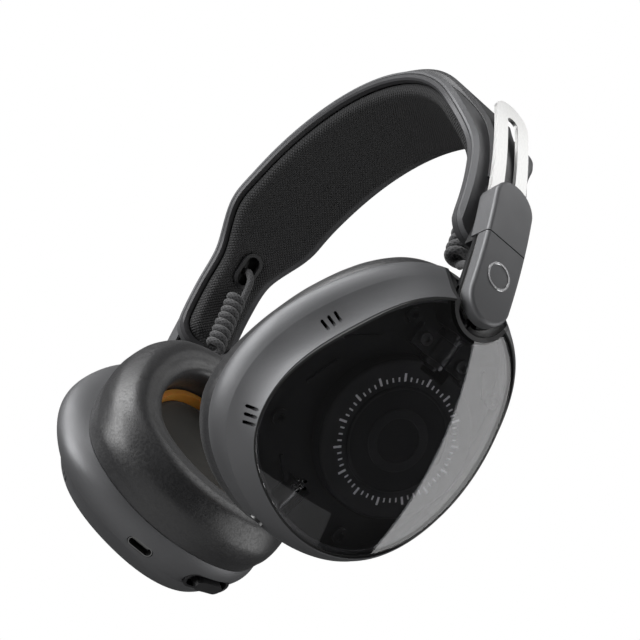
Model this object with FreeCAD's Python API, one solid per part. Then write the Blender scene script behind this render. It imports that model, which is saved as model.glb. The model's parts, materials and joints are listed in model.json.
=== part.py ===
import FreeCAD, Part
import math
import os

from FreeCAD import Vector, Matrix

# Over-ear headphones with slotted steel sliders. Millimetres. +Z is up, +X is the wearer's left,
# -Y is the front. The origin is on the underside of the head pad, at the crown.

# ---- headband: an arch of constant radius, wide at the crown and narrow at the sides ----
PAD_DEPTH = 4.6          # pad thickness
PAD_TOP = -1.4           # pad's outer side, measured from the band's centre surface
PAD_EDGE = 1.8           # bevel round the side that meets the head
CROWN_Z = PAD_DEPTH - PAD_TOP
BAND_R = 72.6            # radius of the band's centre surface
BAND_END = 97.0          # angle from the crown to the band's ends, degrees
BAND_OVERRUN = 3.0       # band is drawn this much longer, then trimmed level
WIDE_HALF = 19.7         # half width over the crown
NARROW_HALF = 12.3       # half width at the sides
TAPER_FROM = 50.0        # angles between which the width changes
TAPER_TO = 70.5
STATIONS = [0, 12, 24, 36, 46, 51, 55, 59, 63, 67, 71, 77, 84, 91]
SHELL_TOP = 2.0          # shell's outer surface above the centre surface
SHELL_BOTTOM = -0.2
SHELL_EDGE = 1.3         # bevel along the shell's outer edges
RIM_BOTTOM = -2.4
RIM_WIDTH = 2.2
RIM_EDGE = 0.6
SOFT_EDGE = 0.2          # smallest bevel on a moulded edge
END_CORNER = 8.0         # rounded corners of the band's ends
INNER_CORNER = 6.0
PAD_INSET = RIM_WIDTH + 0.5
STRIP_HALF = 8.0         # spring strip between the shell and the pad
STRIP_SHORT = 6.0        # it ends this many degrees before the band
STRIP_GAP = 0.3
SPINE_HEIGHT = 3.0       # over the crown
SPINE_SIDE_HEIGHT = 1.6  # beside and under the steel plates
SPINE_CROWN_HALF = 16.5
SPINE_SIDE_HALF = 6.6
SPINE_END = 79.0
SPINE_TAPER = (28.0, 58.5)   # angles between which the spine gets narrower
SPINE_DROP = (34.0, 50.0)    # and lower
SPINE_EDGE = 1.2
GAP = 0.1                # assembly gap between fixed pieces

# ---- eyelets that the curly leads come out of ----
EYELET_ANGLE = 68.0
EYELET_HALF_LENGTH = 7.0
EYELET_HALF_WIDTH = 4.0
EYELET_PROUD = 0.9       # how far it stands out of the pad
EYELET_WALL = 1.3
EYELET_BACK = 1.1        # space behind it, up to the pad's outer side
EYELET_FLOOR = 2.6       # depth of its hollow
EYELET_ROOM = 0.3        # gap to the pad

# ---- slider arm: it runs on an arc of large radius, centred inside the head space ----
ARM_R = 205.0            # outer surface of the steel plate
ARM_X = -123.1           # centre of that arc
ARM_Z = CROWN_Z - 103.9
PLATE_T = 1.3
PLATE_HALF = 7.3
PLATE_TOP = 24.1         # angles on the arm's arc, from level, degrees
SLOT_TOP = 22.0
SLOT_LOW = 6.4
SLOT_HALF = 2.35
SEAM = 5.5               # joint between the fixed cap and the sliding arm
SEAM_GAP = 0.12
CAP_TOP = 12.1
CAP_DEPTH = 3.2          # cap's sides below the plate's outer surface
CAP_SCREWS = [8.0, 9.5]
CAP_SCREW_IN = 3.8       # cap screws' depth below and height above the plate's surface
CAP_SCREW_OUT = 2.0
ARM_HALF = 8.1           # half width of the cap and of the arm's covers
COVER_T = 4.1            # covers' height above the plate
COVER_ROUND = 1.2        # rounded edges of the cap and of the outer cover
INNER_DEPTH = 6.0        # inner cover's depth under the plate
GUIDE_HALF = 6.6
GUIDE_SHORT = 0.4        # guide ends this many degrees below the cap's top
POST_LOW = 7.1           # guide's post that runs in the slot
POST_TOP = 10.4
POST_GAP = 0.08
ARM_SCREWS = [4.4, 2.1]
ARM_SCREW_IN = 5.0
ARM_SCREW_OUT = 2.4
SCREW_R = 0.78           # self-tapping screws, their pilot holes and their holes in the plate
PILOT_R = 0.8
PILOT_EXTRA = 0.2
PLATE_HOLE_R = 1.0

# ---- tilt and swivel ----
PIVOT_IN = 2.75          # tilt pin's depth below the plate's outer surface
PIN_R = 1.25
PIN_EXTRA = 2.5          # pin's length in each wall beyond the barrel
FIT = 0.05               # radial clearance of running fits
BARREL_R = 3.1
BARREL_HALF = 3.4
BARREL_ROOM = 0.4        # gap round the barrel
STEM_R = 2.5
STEM_ROOM = 0.35         # gap round the stem over its travel
COLLAR_EXTRA = 1.3       # stem's two collars beyond its radius
COLLAR_T = 1.5
TILT_REST = 32.0         # lean of the cup at rest, degrees from vertical
TILT_OUT = 25.0          # travel outwards from rest
TILT_SPARE = 2.0         # room beyond each end of the travel

# ---- curly lead ----
LEAD_R = 3.6             # outer radius of the coil
LEAD_WIRE_R = 1.1
COIL_TOP = (61.3, 0, CROWN_Z - 59.4)
COIL_BOTTOM = (62.2, 0, CROWN_Z - 82.0)
LEAD_DROP = (5.2, 7.6)   # the lead's bends above the coil, below the eyelet's floor
LEAD_IN_X = 4.3          # where it enters the arm's inner cover, from the pivot
LEAD_IN_Z = 17.0
LEAD_HOLE_GAP = 0.3

# ---- ear cup, in its own frame: x to the rear, y up the cup, z out through the window ----
CUP_X = 61.1
CUP_Z = CROWN_Z - 145.6
DISC_X = 3.6             # driver's centre behind the swivel axis
WINDOW = [(4.5, 43.6), (-16.4, 36.9), (-30, 17.6), (-38, -6), (-34.5, -22), (-18.5, -34.6),
          (3.2, -37.9), (17, -31.9), (26.6, -16.8), (29.3, 1), (27.3, 18), (18.6, 36.9)]
PARTING = [(4.5, 48.5), (-19.5, 41.8), (-36.3, 21.8), (-45.6, -4), (-42.3, -22.6), (-24, -38),
           (3.2, -41.8), (20, -34), (29.8, -17.5), (32.4, 1.5), (30.4, 21.8), (20.8, 40)]
WIDEST = [(4.5, 50), (-20.5, 44), (-38.5, 24), (-48.8, -4), (-45.5, -23), (-26, -39.2),
          (3.4, -43.2), (22.5, -35.8), (33, -18.5), (36, 2), (33.5, 23), (22.8, 42)]
SEAT = [(4.5, 48.6), (-18.5, 42), (-33, 22.5), (-41.5, -3), (-41, -22.5), (-25, -38.4),
        (3.4, -42.4), (22, -35.2), (32, -18), (35, 2), (32.6, 22.6), (22.3, 41)]
EAR = [(5, 30.5), (-9, 26.5), (-19, 14), (-25.5, -3), (-24, -16), (-12, -25.5),
       (4, -27), (13.5, -21), (19, -9), (21, 3), (19.5, 15), (13.5, 26)]
RING_Z = -6.5            # joint between the front ring and the rear housing
WIDEST_Z = -13.0
SEAT_Z = -18.5           # joint between the housing and the cushion
WALL = 2.0
FLANGE_T = 1.4           # housing's inward flange behind the baffle
FLANGE_REACH = 4.0
RING_SHOULDER = (1.5, -0.8)  # ring's upper sections: beyond the window's edge, and height
RING_LIP = (0.9, 0.1)
RING_INNER_TOP = (0.2, -3.5)
LENS_LEDGE = 1.4         # ledge under the lens
REBATE = 0.75            # room for the lens and its gasket
REBATE_Z = -2.6
GASKET_OUT = 0.7
GASKET_IN = 0.05
GASKET_PROUD = 0.1
DOME_R = 190.0
DOME_RISE = 3.8
DOME_AT = (-4.4, 2.5)
LENS_T = 1.5
DISH_R = 11.0            # ball-shaped space that the arm's end turns in
DISH_T = 1.1
DISH_FLOOR = 35.4
DISH_FLARE = 4.0
DISH_FLARE_LENGTH = 11.0
VENT_GROUPS = [(-35.4, 15.4), (-38.6, -19.0)]
VENT_PITCH = 2.2
VENT_HALF_LENGTH = 1.45
VENT_HALF_WIDTH = 0.5
MIC_CENTRE = (-15.0, -26.5)
MIC_RING = 1.75
MIC_COUNT = 5
MIC_R = 0.55

# ---- inside the cup ----
CHASSIS_DROP = 1.6       # chassis' outer side below the stem's axis
CHASSIS_T = 1.4
CHASSIS_INSET = 0.4
CHASSIS_RIBS = [(-22.5, 17.5, 6.0, 35), (-26.0, 3.0, 5.5, 70), (-17.0, -26.0, 5.0, -40),
                (19.0, 28.0, 4.5, -50)]
RIB_HALF_WIDTH = 0.7
RIB_HEIGHT = 1.0
CHASSIS_BOSSES = [(-13.6, 31.5), (-28.5, -14.5), (24.5, 26.0), (10.0, -32.0)]
BOSS_R = 2.4
BOSS_HEIGHT = 1.6
SUNK = 0.2               # how far ribs and bosses reach into the plate
BRACKET_Y = 28.0         # saddle bracket that holds the stem
BRACKET_HALF_X = 10.6
BRACKET_HALF_Y = 3.4
BRACKET_T = 3.0
BRACKET_SCREW_X = 7.5
BRACKET_SCREW_R = 1.05
BRACKET_SCREW_LENGTH = 4.4
BRACKET_HEAD_R = 2.1
BRACKET_HEAD_T = 1.2
HEX_R = 1.0
DRIVER_HOUSE_R = 24.0
DRIVER_HOUSE_DEPTH = 15.7
DRIVER_HOUSE_WALL = 1.5
DRIVER_HOUSE_ROUND = 1.2
BADGE_R = 16.0           # plain disc set in the driver housing's face
BADGE_Z = -3.4
BADGE_T = 1.0
BASKET_R = 20.0          # 40 mm driver
BASKET_DEPTH = 4.0
BASKET_RIM = 1.8
BASKET_FLOOR = 1.6
MAGNET_R = 11.0
MAGNET_DEPTH = 5.0
MAGNET_BORE_R = 2.0
DIAPHRAGM_T = 0.5
DIAPHRAGM_Z = 0.9        # above the cup's seat
BOARD_Z = -15.8
BOARD_T = 1.0
BOARD_INSET = WALL + 1.0
BOARD_TOP_Y = 4.0        # the board fills the cup below this height
CELL_SIZE = (11, 26, 4)
CELL_CORNER = (-34.5, -19, -14.5)
CELL_ROUND = 1.2
BAFFLE_T = 1.8
BAFFLE_INSET = 0.5
BAFFLE_OPENING = 3.2     # opening's edge inside the ear opening's outline
BRIDGE_OUTER_R = 20.3    # ring across the opening that holds the driver
BRIDGE_INNER_R = 17.6

# ---- cushion, from its base on the baffle to its face on the head ----
CUSHION_GAP = 0.3
CUSHION_DEPTH = 18.0
CUSHION_SECTIONS = [(-0.2, 0), (0.6, 4.5), (-0.6, 11.5), (-4.2, 16.2), (-8.0, CUSHION_DEPTH)]
CUSHION_HOLE = [(2.3, -1), (2.2, 5), (0.8, 10), (2.6, CUSHION_DEPTH + 1)]
EAR_RING_OUT = 1.9
EAR_RING_IN = -0.2
EAR_RING_DEPTH = 4.5
EAR_RING_BACK = 0.25
CLOTH_T = 0.8
CLOTH_INSET = 0.5
CLOTH_GAP = 0.4

# ---- sockets and the volume rocker, in the housing's lower wall ----
PORT_X = -13.5           # place of the socket in each cup's lower front wall
PORT_Z = -10.2
PORT_ROOM = (8.5, 7.0)   # half length and half width of the board's notch behind it
SOCKET_ROOM = (5.2, 3.3) # the same of the chassis' notch
SOCKET_DEPTH = 17.0      # that notch's depth from the wall's surface
JACK_R = 1.78
JACK_LENGTH = 13.0
JACK_BODY_R = 2.9
JACK_NOSE_R = 2.5
JACK_NOSE = 3.2          # depth of the nose below the wall
JACK_PROUD = 0.2         # the nose ends this far below the wall's surface
JACK_HOLE_R = 2.6
USB_HALF_W = 4.6
USB_HALF_H = 1.7
USB_WALL = 0.35
USB_DEPTH = 8.0
USB_BACK_T = 0.8
USB_IN = 0.6             # shell ends this far below the wall's surface
USB_HOLE_EXTRA = 0.3
TONGUE = (6.4, 0.7, 5.0)
KEY_X = 15.0             # place of the volume rocker in the right cup's lower rear wall
KEY_HOLE = (9.6, 3.45)   # half length and half width of the hole, the bezel and its recess
BEZEL = (9.4, 3.3)
BEZEL_Z = (-4.6, -1.0)
RECESS = (8.4, 2.5)
RECESS_FLOOR = -3.6
STALK_HOLE = (1.3, 1.0)
ROCKER = (5.6, 2.1)
ROCKER_Z = (-2.6, 0.9)
STALK_R = 0.9
STALK_END = -6.0

SIDES = {"left": 1, "right": -1}
FAR = 60.0               # longer than any piece is wide
X = Vector(1, 0, 0)
Y = Vector(0, 1, 0)
Z = Vector(0, 0, 1)
ORIGIN = Vector(0, 0, 0)


def save(name, shape):
    """Write one node; a group of pieces stays a group of separate solids."""
    solids = shape.Solids
    assert solids, name
    for solid in solids:
        assert solid.isValid(), name
    result = solids[0] if len(solids) == 1 else Part.makeCompound(solids)
    result.exportStep("parts/%s.step" % name)


def side_name(base, side):
    return "%s_%s" % (base, side)


def for_side(shape, side):
    """Everything is drawn on the left (+X) and mirrored for the right."""
    if SIDES[side] > 0:
        return shape
    return shape.mirror(ORIGIN, X)


def polygon(points):
    return Part.makePolygon(points + [points[0]])


def prism(wire, direction):
    return Part.Face(wire).extrude(direction)


def smooth_step(value):
    value = min(1.0, max(0.0, value))
    return value * value * (3 - 2 * value)


def part_way(angle, span):
    """How far an angle is through a span of angles, from 0 to 1, eased at both ends."""
    return smooth_step((abs(angle) - span[0]) / (span[1] - span[0]))


# ------------------------------------------------------------------ headband

def band_half(angle):
    """Half width of the band at an angle from the crown."""
    return WIDE_HALF + (NARROW_HALF - WIDE_HALF) * part_way(angle, (TAPER_FROM, TAPER_TO))


def band_point(angle, y, height):
    """A point at a height above the band's centre surface."""
    turn = math.radians(angle)
    radius = BAND_R + height
    return Vector(radius * math.sin(turn), y, CROWN_Z - BAND_R + radius * math.cos(turn))


def band_section(angle, half, low, high, cut_top=0.0, cut_low=0.0):
    """A rectangle across the band with its corners cut, as eight points."""
    top_cut = max(cut_top, 0.02)
    low_cut = max(cut_low, 0.02)
    corners = [(-half, low + low_cut), (-half + low_cut, low), (half - low_cut, low),
               (half, low + low_cut), (half, high - top_cut), (half - top_cut, high),
               (-half + top_cut, high), (-half, high - top_cut)]
    return polygon([band_point(angle, y, h) for y, h in corners])


def band_angles(end):
    """Stations along the band, closer together where its width changes."""
    side = [a for a in STATIONS if a < end - 1] + [end]
    return [-a for a in reversed(side[1:])] + side


def band_loft(end, width, low, high, cut_top=0.0, cut_low=0.0):
    sections = [band_section(a, width(a), low, high, cut_top, cut_low) for a in band_angles(end)]
    return Part.makeLoft(sections, True, False)


def band_end_trim(inset, corner):
    """Space that the band may fill, with rounded lower corners at both ends."""
    half = NARROW_HALF - inset
    bottom = band_point(BAND_END, 0, 0).z + inset
    reach = BAND_R + 20
    lower = Part.makeBox(2 * reach, 2 * half, 30, Vector(-reach, -half, bottom))
    edges = [e for e in lower.Edges
             if abs(e.BoundBox.ZMax - bottom) < 1e-6 and e.BoundBox.XLength > reach]
    lower = lower.makeFillet(corner, edges)
    upper = Part.makeBox(2 * reach, FAR, 2 * reach, Vector(-reach, -FAR / 2, bottom + 25))
    return lower.fuse(upper)


def make_band_shell():
    shell = band_loft(BAND_END + BAND_OVERRUN, band_half, SHELL_BOTTOM, SHELL_TOP,
                      SHELL_EDGE, SOFT_EDGE)
    save("band_shell", shell.common(band_end_trim(0, END_CORNER)))


def make_rim_frame():
    outer = band_loft(BAND_END + BAND_OVERRUN, band_half, RIM_BOTTOM, SHELL_BOTTOM - GAP,
                      SOFT_EDGE, RIM_EDGE)
    outer = outer.common(band_end_trim(0, END_CORNER))
    inner = band_loft(BAND_END + BAND_OVERRUN + 2, lambda a: band_half(a) - RIM_WIDTH,
                      RIM_BOTTOM - 2, SHELL_TOP)
    inner = inner.common(band_end_trim(RIM_WIDTH, INNER_CORNER))
    save("rim_frame", outer.cut(inner))


def make_spring_strip():
    strip = band_loft(BAND_END - STRIP_SHORT, lambda a: STRIP_HALF, PAD_TOP + STRIP_GAP,
                      SHELL_BOTTOM - GAP)
    save("spring_strip", strip)


def spine_half(angle):
    return SPINE_CROWN_HALF + (SPINE_SIDE_HALF - SPINE_CROWN_HALF) * part_way(angle, SPINE_TAPER)


def make_spine_cover():
    low = SHELL_TOP + GAP
    sections = []
    for angle in band_angles(SPINE_END):
        drop = part_way(angle, SPINE_DROP)
        height = SPINE_HEIGHT + (SPINE_SIDE_HEIGHT - SPINE_HEIGHT) * drop
        sections.append(band_section(angle, spine_half(angle), low, low + height, SPINE_EDGE, 0.1))
    save("spine_cover", Part.makeLoft(sections, True, False))


def make_head_pad():
    pad = band_loft(BAND_END + BAND_OVERRUN, lambda a: band_half(a) - PAD_INSET,
                    PAD_TOP - PAD_DEPTH, PAD_TOP, 2 * SOFT_EDGE, PAD_EDGE)
    pad = pad.common(band_end_trim(PAD_INSET, INNER_CORNER))
    for side in SIDES:
        pad = pad.cut(for_side(eyelet_block(EYELET_ROOM), side))
    save("head_pad", pad)


def frame_matrix(origin, e1, e2, e3):
    return Matrix(e1.x, e2.x, e3.x, origin.x,
                  e1.y, e2.y, e3.y, origin.y,
                  e1.z, e2.z, e3.z, origin.z,
                  0, 0, 0, 1)


def placed(shape, origin, e1, e2, e3):
    """Move a shape rigidly into a frame."""
    moved = shape.copy()
    moved.Placement = FreeCAD.Placement(frame_matrix(origin, e1, e2, e3)).multiply(moved.Placement)
    return moved


def stadium(half_length, half_width, low, high):
    """A slot-shaped block, long in x."""
    straight = half_length - half_width
    block = Part.makeBox(2 * straight, 2 * half_width, high - low,
                         Vector(-straight, -half_width, low))
    for end in (-straight, straight):
        block = block.fuse(Part.makeCylinder(half_width, high - low, Vector(end, 0, low)))
    return block.removeSplitter()


def band_frame(shape, angle, height):
    turn = math.radians(angle)
    along = Vector(math.cos(turn), 0, -math.sin(turn))
    outward = Vector(math.sin(turn), 0, math.cos(turn))
    return placed(shape, band_point(angle, 0, height), along, outward.cross(along), outward)


def eyelet_block(grow):
    block = stadium(EYELET_HALF_LENGTH + grow, EYELET_HALF_WIDTH + grow, -1, PAD_DEPTH)
    return band_frame(block, EYELET_ANGLE, PAD_TOP - PAD_DEPTH)


def make_eyelets():
    body = stadium(EYELET_HALF_LENGTH, EYELET_HALF_WIDTH, -EYELET_PROUD, PAD_DEPTH - EYELET_BACK)
    hole = stadium(EYELET_HALF_LENGTH - EYELET_WALL, EYELET_HALF_WIDTH - EYELET_WALL, -2,
                   EYELET_FLOOR)
    eyelet = band_frame(body.cut(hole), EYELET_ANGLE, PAD_TOP - PAD_DEPTH)
    save("cable_eyelets", Part.makeCompound([for_side(eyelet, side) for side in SIDES]))


# ------------------------------------------------------------------ slider arm

def arm_point(angle, y, radius):
    turn = math.radians(angle)
    return Vector(ARM_X + radius * math.cos(turn), y, ARM_Z + radius * math.sin(turn))


def arm_slab(low_r, high_r, low_angle, high_angle, half):
    """A slice of the tube round the arm's arc centre."""
    middle = (low_angle + high_angle) / 2
    outer = Part.Arc(arm_point(low_angle, -half, high_r), arm_point(middle, -half, high_r),
                     arm_point(high_angle, -half, high_r)).toShape()
    inner = Part.Arc(arm_point(high_angle, -half, low_r), arm_point(middle, -half, low_r),
                     arm_point(low_angle, -half, low_r)).toShape()
    top = Part.LineSegment(arm_point(high_angle, -half, high_r),
                           arm_point(high_angle, -half, low_r)).toShape()
    bottom = Part.LineSegment(arm_point(low_angle, -half, low_r),
                              arm_point(low_angle, -half, high_r)).toShape()
    return prism(Part.Wire([outer, top, inner, bottom]), Vector(0, 2 * half, 0))


def arm_arc(length):
    """Angle on the arm's arc that a length covers."""
    return math.degrees(length / ARM_R)


def arm_round(angle, radius_in, radius_out, round_r, y=0.0):
    """A round bar through the arm, along the arc's radius."""
    start = arm_point(angle, y, radius_in)
    direction = arm_point(angle, y, radius_out).sub(start)
    return Part.makeCylinder(round_r, radius_out - radius_in, start, direction)


def arm_stadium(low_r, high_r, low_angle, high_angle, half, round_low, round_top):
    """An arm slab whose ends are half circles, where asked for."""
    inset = arm_arc(half)
    low = low_angle + inset if round_low else low_angle
    top = high_angle - inset if round_top else high_angle
    body = arm_slab(low_r, high_r, low, top, half)
    ends = []
    if round_low:
        ends.append(low)
    if round_top:
        ends.append(top)
    for angle in ends:
        bar = arm_round(angle, low_r - 3, high_r + 3, half)
        slab = arm_slab(low_r, high_r, angle - 2 * inset, angle + 2 * inset, half + 1)
        body = body.fuse(bar.common(slab))
    return body.removeSplitter()


def round_outer(shape, radius, size):
    """Round the edges of the outer face, which lies at the given radius, but not at the seam."""
    edges = []
    for edge in shape.Edges:
        points = edge.discretize(5)
        nearest = min(math.hypot(p.x - ARM_X, p.z - ARM_Z) for p in points)
        rise = max(p.z for p in points) - min(p.z for p in points)
        if nearest > radius - 0.05 and rise > 0.1:
            edges.append(edge)
    return shape.makeFillet(size, edges)


PIVOT = Vector(ARM_X + ARM_R - PIVOT_IN, 0, ARM_Z)
ARM_BOTTOM = -math.degrees(ARM_HALF / ARM_R)


def make_slider_plate():
    low_end = ARM_BOTTOM + arm_arc(ARM_HALF - PLATE_HALF)
    plate = arm_stadium(ARM_R - PLATE_T, ARM_R, low_end, PLATE_TOP, PLATE_HALF, True, True)
    slot = arm_stadium(ARM_R - 5, ARM_R + 5, SLOT_LOW, SLOT_TOP, SLOT_HALF, True, True)
    half_y = BARREL_HALF + BARREL_ROOM
    half_z = BARREL_R + 1.5 * BARREL_ROOM
    window = Part.makeBox(20, 2 * half_y, 2 * half_z, PIVOT - Vector(10, half_y, half_z))
    plate = plate.cut(slot).cut(window).cut(stem_sweep())
    for angle in ARM_SCREWS:
        plate = plate.cut(arm_round(angle, ARM_R - 5, ARM_R + 5, PLATE_HOLE_R))
    for side in SIDES:
        save(side_name("slider_plate", side), for_side(plate, side))


def make_slider_caps():
    low = SEAM + SEAM_GAP
    top_r = ARM_R + COVER_T
    cap = arm_stadium(ARM_R - CAP_DEPTH, top_r, low, CAP_TOP, ARM_HALF, False, True)
    cap = round_outer(cap, top_r, COVER_ROUND)
    inside = arm_slab(ARM_R - 5, ARM_R + FIT, low - 1, CAP_TOP + 1, PLATE_HALF + FIT)
    cap = cap.cut(inside)
    for angle in CAP_SCREWS:
        cap = cap.cut(arm_round(angle, ARM_R - 1, ARM_R + CAP_SCREW_OUT + PILOT_EXTRA, PILOT_R))
    save("slider_caps", Part.makeCompound([for_side(cap, side) for side in SIDES]))


def guide_base(low_angle, high_angle):
    """Block that fills from the band's shell to the plate's underside."""
    block = arm_slab(ARM_R - 14, ARM_R - PLATE_T - FIT, low_angle, high_angle, GUIDE_HALF)
    band_side = Part.makeCylinder(BAND_R + SHELL_TOP + GAP, FAR,
                                  Vector(0, -FAR / 2, CROWN_Z - BAND_R), Y)
    return block.cut(band_side)


def make_slider_guides():
    guide = guide_base(SEAM + SEAM_GAP, CAP_TOP - GUIDE_SHORT)
    post = arm_slab(ARM_R - PLATE_T - 0.5, ARM_R, POST_LOW, POST_TOP, SLOT_HALF - POST_GAP)
    guide = guide.fuse(post).removeSplitter()
    for angle in CAP_SCREWS:
        guide = guide.cut(arm_round(angle, ARM_R - 20, ARM_R + 1, PILOT_R))
    pair = Part.makeCompound([arm_round(a, ARM_R - CAP_SCREW_IN, ARM_R + CAP_SCREW_OUT, SCREW_R)
                              for a in CAP_SCREWS])
    save("slider_guides", Part.makeCompound([for_side(guide, side) for side in SIDES]))
    save("cap_screws", Part.makeCompound([for_side(pair, side) for side in SIDES]))


def barrel_space():
    """Room for the stem's barrel on the tilt pin."""
    half = BARREL_HALF + BARREL_ROOM
    return Part.makeCylinder(BARREL_R + BARREL_ROOM, 2 * half, PIVOT - Vector(0, half, 0), Y)


def make_outer_covers():
    top_r = ARM_R + COVER_T
    cover = arm_stadium(ARM_R, top_r, ARM_BOTTOM, SEAM, ARM_HALF, True, False)
    cover = round_outer(cover, top_r, COVER_ROUND)
    cover = cover.cut(barrel_space())
    for angle in ARM_SCREWS:
        pilot = arm_round(angle, ARM_R - 1, ARM_R + ARM_SCREW_OUT + PILOT_EXTRA, PILOT_R)
        cover = cover.cut(pilot)
    for side in SIDES:
        save(side_name("arm_outer_cover", side), for_side(cover, side))


def inner_cover_form():
    """A bar of half-oval section, closed below by a quarter of an oval ball."""
    centre = PIVOT + Vector(PIVOT_IN - PLATE_T, 0, 0)
    length = ARM_R * math.sin(math.radians(SEAM + 1))
    bar = Part.makeCylinder(ARM_HALF, length)
    ball = Part.makeSphere(ARM_HALF)
    form = bar.fuse(ball)
    flatten = Matrix()
    flatten.scale(INNER_DEPTH / ARM_HALF, 1, 1)
    form = form.transformGeometry(flatten)
    form.translate(centre)
    return form


def make_inner_covers():
    form = inner_cover_form()
    limit = arm_slab(ARM_R - 12, ARM_R - PLATE_T, ARM_BOTTOM - 1, SEAM, ARM_HALF + 1)
    cover = form.common(limit)
    cover = cover.cut(barrel_space()).cut(stem_sweep())
    cover = cover.cut(Part.makeCylinder(PIN_R, 2 * ARM_HALF, PIVOT - Vector(0, ARM_HALF, 0), Y))
    for angle in ARM_SCREWS:
        cover = cover.cut(arm_round(angle, ARM_R - ARM_SCREW_IN - PILOT_EXTRA, ARM_R, PILOT_R))
    cover = cover.cut(lead_entry())
    pin_half = BARREL_HALF + PIN_EXTRA
    pin = Part.makeCylinder(PIN_R, 2 * pin_half, PIVOT - Vector(0, pin_half, 0), Y)
    screws = [arm_round(a, ARM_R - ARM_SCREW_IN, ARM_R + ARM_SCREW_OUT, SCREW_R)
              for a in ARM_SCREWS]
    for side in SIDES:
        save(side_name("arm_inner_cover", side), for_side(cover, side))
        save(side_name("tilt_pin", side), for_side(pin, side))
        save(side_name("arm_screws", side), for_side(Part.makeCompound(screws), side))


def stem_sweep():
    """Space swept by the stem as the cup tilts from rest outwards."""
    solids = []
    steps = 7
    for step in range(steps + 1):
        swing = (TILT_OUT + 2 * TILT_SPARE) * step / steps
        lean = math.radians(TILT_REST + TILT_SPARE - swing)
        down = Vector(-math.sin(lean), 0, -math.cos(lean))
        solids.append(Part.makeCylinder(STEM_R + STEM_ROOM, 14, PIVOT, down))
    sweep = solids[0]
    for solid in solids[1:]:
        sweep = sweep.fuse(solid)
    return sweep


# ------------------------------------------------------------------ curly lead

LEAD_IN = Vector(PIVOT.x - LEAD_IN_X, 0, ARM_Z + LEAD_IN_Z)


def lead_entry():
    """Hole in the inner cover that the lead goes into."""
    return Part.makeCylinder(LEAD_WIRE_R + LEAD_HOLE_GAP, 8, LEAD_IN - X * 6, X)


def tube(points, radius):
    """A round tube along straight runs joined by tangent arcs."""
    edges = []
    here = points[0]
    for i in range(1, len(points) - 1):
        back = points[i - 1].sub(points[i])
        ahead = points[i + 1].sub(points[i])
        turn = math.pi - back.getAngle(ahead)
        reach = 0.45 * min(back.Length, ahead.Length)
        arc_radius = reach / math.tan(turn / 2)
        print("lead bend radius %.1f mm" % arc_radius)
        start = points[i] + back.normalize() * reach
        end = points[i] + ahead.normalize() * reach
        bisector = back.add(ahead).normalize()
        middle = points[i] + bisector * (arc_radius / math.cos(turn / 2) - arc_radius)
        edges.append(Part.LineSegment(here, start).toShape())
        edges.append(Part.Arc(start, middle, end).toShape())
        here = end
    edges.append(Part.LineSegment(here, points[-1]).toShape())
    path = Part.Wire(edges)
    circle = Part.Wire([Part.makeCircle(radius, points[0], points[1].sub(points[0]))])
    pipe = path.makePipeShell([circle], True, False)
    print("lead run %.1f mm, volume ratio %.3f"
          % (path.Length, pipe.Volume / (math.pi * radius ** 2 * path.Length)))
    return pipe


def make_curly_leads():
    """Straight leads out of the eyelet and into the arm, and the coil's outer form between."""
    floor = PAD_TOP - PAD_DEPTH + EYELET_FLOOR
    coil_top = Vector(*COIL_TOP)
    coil_bottom = Vector(*COIL_BOTTOM)
    upper = [band_point(EYELET_ANGLE, 0, floor - 0.2),
             band_point(EYELET_ANGLE + 0.6, 0, floor - LEAD_DROP[0]),
             band_point(EYELET_ANGLE + 3.6, 0, floor - LEAD_DROP[1]),
             coil_top + Vector(-0.1, 0, -1.0)]
    lower = [coil_bottom + Vector(0.1, 0, 1.0), coil_bottom + Vector(0.6, 0, -2.2),
             LEAD_IN + Vector(-6.5, 0, -0.6), LEAD_IN + Vector(0.8, 0, 0)]
    axis = coil_bottom.sub(coil_top)
    coil = Part.makeCylinder(LEAD_R, axis.Length, coil_top, axis)
    lead = coil.fuse(tube(upper, LEAD_WIRE_R)).fuse(tube(lower, LEAD_WIRE_R))
    for side in SIDES:
        save(side_name("curly_lead", side), for_side(lead, side))


# ------------------------------------------------------------------ cup frame

CUP_UP = Vector(math.sin(math.radians(TILT_REST)), 0, math.cos(math.radians(TILT_REST)))
CUP_OUT = Vector(math.cos(math.radians(TILT_REST)), 0, -math.sin(math.radians(TILT_REST)))
CUP_ORIGIN = Vector(CUP_X, 0, CUP_Z)
PIVOT_Y = PIVOT.sub(CUP_ORIGIN).dot(CUP_UP)
STEM_Z = PIVOT.sub(CUP_ORIGIN).dot(CUP_OUT)
CHASSIS_Z = STEM_Z - CHASSIS_DROP


def in_cup(shape):
    return placed(shape, CUP_ORIGIN, Y, CUP_UP, CUP_OUT)


def save_cup(name, shape, side):
    save(side_name(name, side), for_side(in_cup(shape), side))


def outline(points, grow, z):
    """A smooth closed curve through the points, moved out by grow."""
    moved = []
    count = len(points)
    for i in range(count):
        before = points[i - 1]
        after = points[(i + 1) % count]
        tangent = Vector(after[0] - before[0], after[1] - before[1], 0)
        tangent.normalize()
        # the points run anticlockwise seen from outside, so the right-hand side is outward
        normal = Vector(tangent.y, -tangent.x, 0)
        place = Vector(points[i][0], points[i][1], z) + normal * grow
        moved.append(place)
    curve = Part.BSplineCurve()
    curve.interpolate(Points=moved, PeriodicFlag=True)
    return Part.Wire([curve.toShape()])


def outline_prism(points, grow, low, high):
    return prism(outline(points, grow, low), Vector(0, 0, high - low))


def outline_loft(sections):
    return Part.makeLoft([outline(p, g, z) for p, g, z in sections], True, False)


def dome(extra):
    """Ball whose surface is the window's dome, moved out by extra."""
    return Part.makeSphere(DOME_R + extra, Vector(DOME_AT[0], DOME_AT[1], DOME_RISE - DOME_R))


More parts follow.
